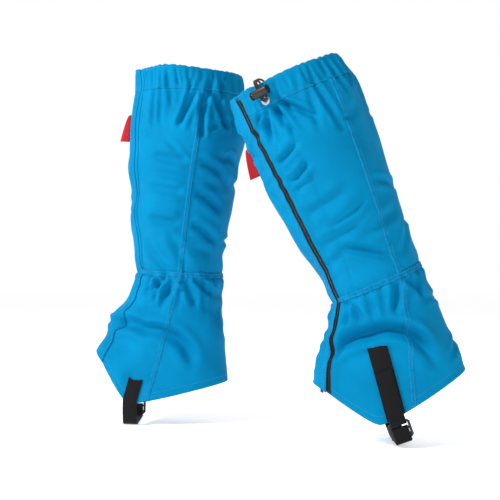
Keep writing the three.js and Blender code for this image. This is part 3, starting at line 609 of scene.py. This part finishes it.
def weave(tree, pitch_across, pitch_down, diagonal=0.0):
    """Height of a plain weave over the cloth's flat coordinates."""
    where = tree.nodes.new("ShaderNodeTexCoord")
    split = tree.nodes.new("ShaderNodeSeparateXYZ")
    tree.links.new(where.outputs["UV"], split.inputs[0])

    def wave(a, b, pitch):
        total = tree.nodes.new("ShaderNodeMath")
        total.operation = "MULTIPLY_ADD"
        tree.links.new(b, total.inputs[0])
        total.inputs[1].default_value = diagonal
        tree.links.new(a, total.inputs[2])
        scaled = tree.nodes.new("ShaderNodeMath")
        scaled.operation = "MULTIPLY"
        tree.links.new(total.outputs[0], scaled.inputs[0])
        scaled.inputs[1].default_value = 2 * math.pi / pitch
        sine = tree.nodes.new("ShaderNodeMath")
        sine.operation = "SINE"
        tree.links.new(scaled.outputs[0], sine.inputs[0])
        return sine.outputs[0]

    product = tree.nodes.new("ShaderNodeMath")
    product.operation = "MULTIPLY"
    tree.links.new(wave(split.outputs[0], split.outputs[1], pitch_across), product.inputs[0])
    tree.links.new(wave(split.outputs[1], split.outputs[0], pitch_down), product.inputs[1])
    return product.outputs[0]


def bump(tree, shader, layers):
    """Chains bumps of [height, strength, distance] into the shader's normal."""
    last = None
    for height, strength, distance in layers:
        node = tree.nodes.new("ShaderNodeBump")
        node.inputs["Strength"].default_value = strength
        node.inputs["Distance"].default_value = distance
        tree.links.new(height, node.inputs["Height"])
        if last is not None:
            tree.links.new(last, node.inputs["Normal"])
        last = node.outputs["Normal"]
    tree.links.new(last, shader.inputs["Normal"])


def vary(tree, shader, fac, low, high, socket="Base Color"):
    """Lets a value wander between two limits with a texture."""
    ramp = tree.nodes.new("ShaderNodeValToRGB")
    ramp.color_ramp.elements[0].position = 0.3
    ramp.color_ramp.elements[1].position = 0.7
    ramp.color_ramp.elements[0].color = (*low, 1) if np.ndim(low) else (low, low, low, 1)
    ramp.color_ramp.elements[1].color = (*high, 1) if np.ndim(high) else (high, high, high, 1)
    tree.links.new(fac, ramp.inputs["Fac"])
    tree.links.new(ramp.outputs["Color"], shader.inputs[socket])


def nylon():
    made, tree, shader = material("coated_nylon", (0.0, 0.24, 0.50), 0.62, specular=0.04)
    vary(tree, shader, noise(tree, 22, 4), (0.0, 0.22, 0.455), (0.0, 0.265, 0.535))
    vary(tree, shader, noise(tree, 60, 3), 0.54, 0.70, "Roughness")
    bump(tree, shader, [
        (weave(tree, 1.1 * MM, 1.1 * MM), 0.7, 0.14 * MM),
        (noise(tree, 260, 3), 0.25, 0.4 * MM),
    ])
    return made


def webbing_cloth():
    made, tree, shader = material("ribbed_webbing", (0.007, 0.007, 0.008), 0.8, sheen=0.05, specular=0.15)
    bump(tree, shader, [
        (weave(tree, 1.6 * MM, 2.4 * MM, 0.5), 0.8, 0.35 * MM), (noise(tree, 900, 2), 0.3, 0.2 * MM),
    ])
    return made


def moulded_plastic():
    made, tree, shader = material("moulded_plastic", (0.011, 0.012, 0.012), 0.38)
    vary(tree, shader, noise(tree, 400, 3), 0.33, 0.46, "Roughness")
    return made


def hook_cloth():
    made, tree, shader = material("hook_and_loop", (0.006, 0.006, 0.007), 0.95, sheen=0.4, specular=0.2)
    bump(tree, shader, [(noise(tree, 1500, 2), 0.9, 0.5 * MM)])
    return made


def braid():
    made, tree, shader = material("braided_cord", (0.012, 0.012, 0.013), 0.7, sheen=0.3, specular=0.3)
    bump(tree, shader, [(noise(tree, 1100, 2), 0.8, 0.3 * MM)])
    return made


def elastic_cloth():
    made, tree, shader = material("woven_elastic", (0.016, 0.016, 0.018), 0.8, sheen=0.2, specular=0.3)
    bump(tree, shader, [(noise(tree, 700, 2), 0.7, 0.3 * MM)])
    return made


def nickel():
    made, tree, shader = material("nickel_plate", (0.55, 0.56, 0.58), 0.3, metallic=1.0)
    vary(tree, shader, noise(tree, 500, 3), 0.24, 0.4, "Roughness")
    return made


def label_cloth():
    made, tree, shader = material("woven_label", (0.56, 0.004, 0.010), 0.6, sheen=0.2, specular=0.3)
    bump(tree, shader, [(weave(tree, 0.6 * MM, 0.6 * MM), 0.5, 0.1 * MM)])
    return made


def thread(name, colour):
    return material(name, colour, 0.5, sheen=0.2)[0]


NYLON = nylon()
WEBBED = webbing_cloth()
PLASTIC = moulded_plastic()
HOOKS = hook_cloth()
BRAID = braid()
ELASTIC = elastic_cloth()
NICKEL = nickel()
RED = label_cloth()
BLUE_THREAD = thread("blue_thread", (0.002, 0.24, 0.50))


# ---- cloth pieces --------------------------------------------------------------------------
def declare(g, u_from, u_to, v0, v1):
    """Works out the lengths along a sheet's middle and its points on a 5 mm lattice, and returns nothing.
    """
    v = np.linspace(v0, v1, 25)
    middle = (u_from(v) + u_to(v)) / 2
    steps = np.linalg.norm(np.diff(g.base(middle, v), axis=0), axis=-1)
    u, w = lattice(g, u_from, u_to, v0, v1, 5 * MM)
    p = g.base(u, w)


def flap_lift(u):
    """Height of the flap's inner face: sewn down at one edge, over the tapes at the other."""
    return FACING_ABOVE + (FLAP_ABOVE - FACING_ABOVE) * smooth(FLAP_SEWN[0] + 1, FLAP_SEWN[0] + 9, u)


def sheet_piece(g, name, u_from, u_to, v0, v1, lift=0.0, thick=CLOTH, turned=0.0):
    """A sheet on the folded surface; turned thickens its lower edge, as a hem that is folded in."""
    u, v = lattice(g, u_from, u_to, v0, v1)
    lift = lift(u) if callable(lift) else lift
    outer = g.cloth(u, v, lift)
    back = lift - thick - turned * smooth(1.90, 1.925, v)
    return slab(f"{g.name}_{name}", outer, g.cloth(u, v, back))


def panels(g, end, start):
    """The six panels; end and start are the courses of the front edges."""
    body = f"{g.name}_gaiter"
    sides = (("outer", start, LATERAL), ("rear", LATERAL, MEDIAL), ("inner", MEDIAL, end))
    for side, u_from, u_to in sides:
        for part, v0, v1, held in (("calf", TUNNEL / TUBE, 1, "hung"), ("skirt", 1, 2, "gathered")):
            name = f"{side}_{part}_panel"
            turned = 0.8 * MM if part == "skirt" else 0.0
            obj = sheet_piece(g, f"{name}_cloth", u_from, u_to, v0, v1, turned=turned)
            place(obj, NYLON, body, "shell", f"{g.name}_{name}")
            declare(g, u_from, u_to, v0, v1)


def strip_on(g, name, points, width, low, high, columns=7):
    """A narrow strip along a (u, v) path, puffed in the middle, between two offsets."""
    u, v = points
    share = np.linspace(-0.5, 0.5, columns)
    across = g.span(u, v, width)
    uu = u[:, None] + across[:, None] * share[None, :]
    vv = v[:, None] + 0 * uu
    edge = 1 - (2 * np.abs(share)) ** 6
    outer = g.cloth(uu, vv, low + 0.1 * MM + (high - low) * edge[None, :])
    return slab(f"{g.name}_{name}", outer, g.cloth(uu, vv, low))


def band_on(g, name, u0, u1, v_middle, half, low, high, rows=9):
    """A strip around the leg at one course, with its edges turned under."""
    count = int((u1 - u0) * BAND_REACH * math.pi / 180 / MESH) + 2
    u = np.linspace(u0, u1, count)
    share = np.linspace(-1, 1, rows)
    offset = share * half
    v = v_middle + np.where(offset < 0, offset / TUBE, offset / SKIRT)
    uu, vv = np.meshgrid(u, v)
    edge = (1 - np.abs(share) ** 8)[:, None]
    outer = g.cloth(uu, vv, low + 0.1 * MM + (high - low) * edge)
    return slab(f"{g.name}_{name}", outer, g.cloth(uu, vv, low))


def stitches(g, name, lines):
    """Rows of separate stitches along (u, v, offset) lines on the folded cloth."""
    paths = []
    for u, v, offset in lines:
        u, v = np.broadcast_arrays(np.asarray(u, float), np.asarray(v, float))
        p = g.base(u, v)
        run = np.concatenate([[0], np.linalg.norm(np.diff(p, axis=0), axis=-1).cumsum()])
        count = max(1, int(run[-1] / STITCH_PITCH))
        pitch = run[-1] / count
        at = (np.arange(count)[:, None] + 0.5) * pitch + np.linspace(-0.5, 0.5, 5) * STITCH
        arch = offset - 0.35 * MM * np.abs(np.linspace(-1, 1, 5)) ** 3
        paths.extend(g.cloth(np.interp(at, run, u), np.interp(at, run, v), arch))
    return tube(f"{g.name}_{name}", paths, THREAD, 5)


def seams(g, end, start):
    """Flat-felled seams over the panel joins, and every row of stitching on the body."""
    body = f"{g.name}_gaiter"
    v = np.linspace(TUNNEL / TUBE, 1.995, 260 if FINE else 120)
    lines = []
    for name, edge in (("outer_seam", LATERAL), ("inner_seam", MEDIAL)):
        obj = strip_on(g, name, (edge(v), v), SEAM_WIDTH, 0.02 * MM, SEAM_RISE)
        place(obj, NYLON, body, "shell")
        for side in (-0.33, 0.33):
            gap = g.span(edge(v), v, SEAM_WIDTH * side)
            lines.append((edge(v) + gap, v, THREAD_ON_SEAM))
    u = np.linspace(float(start(2.0)), float(end(2.0)), 300)
    lines.append((u, np.full_like(u, 2 - HEM_TURN / SKIRT), THREAD_ON_CLOTH))
    u = np.linspace(float(start(0.1)), float(end(0.1)), 300)
    lines.append((u, np.full_like(u, (TUNNEL - 1.5 * MM) / TUBE), THREAD_ON_CLOTH))
    u = np.linspace(float(start(1.0)) + 4, float(end(1.0)) - 2, 300)
    for side in (-1, 1):
        drop = side * (BAND_HALF - 1.4 * MM)
        lines.append((u, np.full_like(u, 1 + drop / (TUBE if side < 0 else SKIRT)), THREAD_ON_BAND))
    place(stitches(g, "body_stitching", lines), BLUE_THREAD, body, "shell")


def tunnel(g, end, start):
    """The gathered top hem: outside ply, rolled edge and inside ply, as one folded sheet."""
    body = f"{g.name}_gaiter"
    deep = TUNNEL_DEEP - 1.2 * MM
    rise = [(TUNNEL * (1 - t), 0.0) for t in np.linspace(0, 0.86, 14)]
    roll = [(deep / 2 - deep / 2 * math.sin(a), -deep / 2 + deep / 2 * math.cos(a))
            for a in np.linspace(0.15, math.pi - 0.15, 11)]
    fall = [(TUNNEL * t, -deep) for t in np.linspace(0.14, 1, 12)]
    section = np.array(rise + roll + fall)
    tangent = unit(np.gradient(section, axis=0))
    inward = np.stack([-tangent[:, 1], tangent[:, 0]], -1)
    inward *= -1 if inward[0, 1] > 0 else 1
    count = int(TOP_ROUND / (MESH * 0.8))
    u = np.linspace(float(start(0.0)), float(end(0.0)), count)
    lip = 0.6 * np.interp(u % 360, np.arange(COLUMNS) * 360 / COLUMNS, g.relief_map[6])
    shells = []
    for depth in (0.0, CLOTH):
        line = section + inward * depth
        drop = line[:, 0][:, None] - lip[None, :] * smooth(TUNNEL, 0, line[:, 0])[:, None]
        uu = u[None, :] + 0 * drop
        shells.append(g.cloth(uu, drop / TUBE, line[:, 1][:, None] + 0.05 * MM))
    obj = slab(f"{g.name}_top_hem", shells[0], shells[1])
    place(obj, NYLON, body, "shell", f"{g.name}_top_hem_tunnel")


def flap_edge(g):
    """The flap's free edge, a little uneven as the cloth lies."""
    phase = 0.7 if g.hand < 0 else 2.1
    return lambda v: FREE(v) + 0.8 * np.sin(5 * v + phase)


def front(g, start):
    """Flap, its loop tape, the hook tape below it, and the label."""
    body, flap_body = f"{g.name}_gaiter", f"{g.name}_flap_upper"
    free = flap_edge(g)
    tape_end = shifted(FREE, TAPE_SHOW + HOOK_LEDGE)
    hook = sheet_piece(g, "hook_tape_strip", shifted(start, 0.5), tape_end, TAPE_TOP, TAPE_BOTTOM,
                       HOOK_LIFT, HOOK_THICK)
    place(hook, HOOKS, body, "hook_and_loop", f"{g.name}_hook_tape")
    loop = sheet_piece(g, "loop_tape_strip", shifted(start, 2), shifted(free, -0.8), TAPE_TOP,
                       TAPE_BOTTOM, LOOP_LIFT, LOOP_THICK)
    flap = sheet_piece(g, "front_flap", SEWN, free, 0.001, 2, lambda u: flap_lift(u) + FLAP_THICK,
                       FLAP_THICK)
    place(loop, HOOKS, None, "hook_and_loop", f"{g.name}_loop_tape_upper", f"{g.name}_loop_tape_lower")
    place(flap, NYLON, None, "shell", f"{g.name}_front_flap_upper", f"{g.name}_front_flap_lower")
    v = np.linspace(0.01, 1.99, 240)
    rows = []
    for drop in (3.5, 7.0):
        gap = g.span(free(v), v, drop * MM)
        rows.append((free(v) - gap, v, FLAP_ABOVE + THREAD_ON_FLAP))
    gap = g.span(SEWN(v), v, 3 * MM)
    rows.append((SEWN(v) + gap, v, flap_lift(SEWN(1) + 3) + 0.75 * MM))
    sewn = stitches(g, "flap_stitching", rows)
    place(sewn, BLUE_THREAD, None, "shell")
    declare(g, SEWN, FREE, 0, 2)
    low, high = g.base(0, BELOW_ANKLE), g.base(0, ABOVE_ANKLE)
    for obj in (flap, loop, sewn):
        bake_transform(obj)
    facing(g)
    label(g)


def facing(g):
    """The flap's seam allowance along the sewn edge."""
    near, far = shifted(SEWN, -FACING_HALF), shifted(SEWN, FACING_HALF)
    u, v = lattice(g, near, far, 0.004, ABOVE_ANKLE, MESH * 0.7)
    obj = slab(f"{g.name}_flap_facing", g.cloth(u, v, 0.65 * MM), g.cloth(u, v, 0.2 * MM))
    place(obj, NYLON, None, "shell")
    middle = 0.5
    start, end = (tuple(g.base(edge(middle), middle)) for edge in (near, SEWN))
    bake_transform(obj)


def label(g):
    """A folded woven label sewn in edgeways, narrow at the top and hanging plumb outside."""
    v = LABEL_TOP + np.linspace(0, 1, 15) * LABEL_TALL / TUBE
    u = np.full_like(v, LABEL_U)
    sewn = g.cloth(u, v, FLAP_ABOVE + THREAD_ON_FLAP)
    out = g.normal(u, v)
    side = unit(g.base(u + 2, v) - g.base(u - 2, v))
    share = np.linspace(0, 1, 9)
    rows = []
    for turn in (0.42 * MM, -0.42 * MM):
        grid = []
        for i, t in enumerate(np.linspace(0, 1, len(v))):
            wide = LABEL_NARROW + (LABEL_WIDE - LABEL_NARROW) * t ** 0.8
            bend = 1.8 * MM * t * share ** 2
            sag = -1.5 * MM * share * (1 - t)
            aside = bend + turn * (1 - 0.2 * share)
            line = sewn[i] + out[i] * (wide * share)[:, None] + side[i] * aside[:, None]
            line[:, 2] += sag
            grid.append(line)
        rows.append(np.array(grid))
    obj = slab(f"{g.name}_side_label", rows[0], rows[1])
    place(obj, RED, f"{g.name}_label", "label", f"{g.name}_woven_label")


def ankle(g, end, start):
    """The ankle band outside and the elastic behind the cloth."""
    body = f"{g.name}_gaiter"
    u0, u1 = float(start(1.0)) + 3, float(end(1.0)) - 0.6
    band = band_on(g, "ankle_band_strip", u0, u1, 1.0, BAND_HALF, 0.1 * MM, BAND_RISE)
    place(band, NYLON, body, "shell", f"{g.name}_ankle_band")
    around = g.base(np.linspace(u0, u1, 60), np.ones(60))
    inside = band_on(g, "ankle_elastic_strip", u0, u1 - 3, 1.0, ELASTIC_HALF, -3.2 * MM, -2.3 * MM)
    place(inside, ELASTIC, body, "elastic", f"{g.name}_ankle_elastic")


# ---- hardware, webbing and cord --------------------------------------------------------------
def sharper(edge, degrees):
    return len(edge.link_faces) == 2 and edge.calc_face_angle(0) > math.radians(degrees)


def rounded_copy(node, name, look, body, slot, bevel, segments=3):
    """The CAD piece with rounded edges, in its place."""
    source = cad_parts[node]
    obj = bpy.data.objects.new(name, source.data.copy())
    obj.matrix_world = source.matrix_world.copy()
    bpy.context.scene.collection.objects.link(obj)
    work = bmesh.new()
    work.from_mesh(obj.data)
    bmesh.ops.remove_doubles(work, verts=work.verts, dist=0.01 * MM)
    bmesh.ops.dissolve_limit(work, angle_limit=math.radians(FLAT_ANGLE), verts=work.verts, edges=work.edges)
    sharp = [edge for edge in work.edges if sharper(edge, BEVEL_ANGLE)]
    if bevel:
        bmesh.ops.bevel(work, geom=sharp, offset=bevel, segments=segments, profile=0.6,
                        affect="EDGES", clamp_overlap=True)
    bmesh.ops.triangulate(work, faces=work.faces)
    for face in work.faces:
        face.smooth = True
    for edge in work.edges:
        edge.smooth = not sharper(edge, CREASE_ANGLE)
    work.to_mesh(obj.data)
    work.free()
    return place(obj, look, body, slot, node)


def hardware(g):
    """Everything moulded, pressed or cut from webbing, from its CAD piece."""
    n = g.name
    pieces = [                   # CAD node, piece, material, body, slot, rounding
        ("ladder_lock", "buckle", PLASTIC, "gaiter", "plastic", 0.55 * MM),
        ("cord_lock_body", "toggle_body", PLASTIC, "cord_lock", "plastic", 0.5 * MM),
        ("cord_lock_button", "toggle_button", PLASTIC, "lock_button", "plastic", 0.3 * MM),
        ("cord_eyelet", "eyelet", NICKEL, "gaiter", "metal", 0.2 * MM),
        ("lace_hook", "hook", NICKEL, "hook", "metal", 0.2 * MM),
        ("lace_hook_rivet", "hook_rivet", NICKEL, "gaiter", "metal", 0.15 * MM),
        ("lace_hook_tab", "hook_tab", WEBBED, "gaiter", "webbing", 0.3 * MM),
    ]
    for node, name, look, body, slot, rounding in pieces:
        rounded_copy(f"{n}_{node}", f"{n}_{name}", look, f"{n}_{body}", slot, rounding)
    for node in ("strap_reinforcement", "buckle_webbing", "instep_strap"):
        rounded_copy(f"{n}_{node}", f"{n}_{node}_web", WEBBED, f"{n}_gaiter", "webbing", 0.3 * MM, 2)
    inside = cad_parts[f"{n}_tunnel_drawcord"].data
    inside.materials.clear()
    inside.materials.append(BRAID)


def eyelet_seat(g):
    """The eyelet's place with its directions along the hem, outwards and up."""
    drop = EYELET_DROP / TUBE
    origin, out = g.base(EYELET_U, drop), g.normal(EYELET_U, drop)
    along = unit(np.cross(out, unit(g.base(EYELET_U, 0) - origin)))
    return origin, along, out, np.cross(along, out)


def lock_spring(g):
    """The lock's spring, from its CAD piece, with a mesh of its own."""
    n = g.name
    obj = rounded_copy(f"{n}_cord_lock_spring", f"{n}_toggle_spring", NICKEL, f"{n}_cord_lock", "metal", 0)
    _, along, _, _ = eyelet_seat(g)
    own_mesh(obj)


def cord_loop(g):
    """The free loop of drawcord, out through the eyelet, through the lock and over the hem."""
    origin, along, out, rise = eyelet_seat(g)
    there = np.array(STRAND)
    back = there[::-1] * [-1, 1, 1]
    bottom = [[0, there[-1][1], there[-1][2] - LOOP_DIP]]
    line = np.concatenate([there, bottom, back])
    places = np.arange(len(line))
    t = np.linspace(0, len(line) - 1, 260)
    local = np.stack([natural(places, line[:, k], t) for k in range(3)], -1)
    path = origin + local @ np.array([along, out, rise])
    curve = bpy.data.curves.new(f"{g.name}_cord_loop", "CURVE")
    curve.dimensions = "3D"
    curve.bevel_depth = CORD / 2
    curve.bevel_resolution = 3
    curve.use_fill_caps = True
    spline = curve.splines.new("POLY")
    spline.points.add(len(path) - 1)
    for point, p in zip(spline.points, path):
        point.co = (*p, 1)
    obj = bpy.data.objects.new(f"{g.name}_cord_loop", curve)
    bpy.context.scene.collection.objects.link(obj)
    place(obj, BRAID, f"{g.name}_gaiter", "cord", f"{g.name}_drawcord_loop")


# ---- the scene -----------------------------------------------------------------------------
def backdrop(name, size, at, turn, grey, roughness, glow):
    """A white plane that gives off some light of its own."""
    bpy.ops.mesh.primitive_plane_add(size=size, location=at, rotation=(turn, 0, 0))
    plane = bpy.context.object
    plane.name = name
    white, _, shader = material(f"white_{name}", (grey, grey, grey), roughness, specular=0.0)
    shader.inputs["Emission Color"].default_value = (1, 1, 1, 1)
    shader.inputs["Emission Strength"].default_value = glow
    plane.data.materials.append(white)


def light_up():
    """The surroundings' even light and three area lights."""
    world = bpy.data.worlds.new("studio")
    bpy.context.scene.world = world
    world.use_nodes = True
    background = world.node_tree.nodes["Background"]
    background.inputs["Color"].default_value = (1, 1, 1, 1)
    background.inputs["Strength"].default_value = WORLD
    for name, at, target, size, power in LIGHTS:
        data = bpy.data.lights.new(name, "AREA")
        data.size = size
        data.energy = power
        lamp = bpy.data.objects.new(name, data)
        lamp.location = at
        lamp.rotation_euler = (Vector(target) - Vector(at)).to_track_quat("-Z", "Y").to_euler()
        bpy.context.scene.collection.objects.link(lamp)


def set_camera():
    """A level camera that looks straight along Y."""
    data = bpy.data.cameras.new("camera")
    data.lens = CAMERA_LENS
    data.clip_end = 30
    camera = bpy.data.objects.new("camera", data)
    camera.location = CAMERA_AT
    camera.rotation_euler = (math.pi / 2, 0, 0)
    bpy.context.scene.collection.objects.link(camera)
    bpy.context.scene.camera = camera
    bpy.context.scene.view_settings.view_transform = "Standard"


def gaiter(g, seed):
    """One whole gaiter; its sheet runs from the start edge round the leg to the end edge."""
    g.relief_map = make_relief(g, seed)

    def start(v):
        return FREE(v) + TAPE_SHOW - g.span(FREE(v), v, TAPE_WIDTH)

    def end(v):
        return start(v) - OPENING + 360

    panels(g, end, start)
    seams(g, end, start)
    tunnel(g, end, start)
    ankle(g, end, start)
    front(g, start)
    hardware(g)
    lock_spring(g)
    cord_loop(g)


for index, surface in enumerate(PAIR):
    gaiter(surface, SEED + index)

backdrop("floor", FLOOR_SIZE, (0, 3, -0.2 * MM), 0, 0.85, 0.9, FLOOR_GLOW)
backdrop("wall", WALL_SIZE, (0, WALL_AWAY, 0), math.pi / 2, 0, 1.0, 1.0)
light_up()
set_camera()
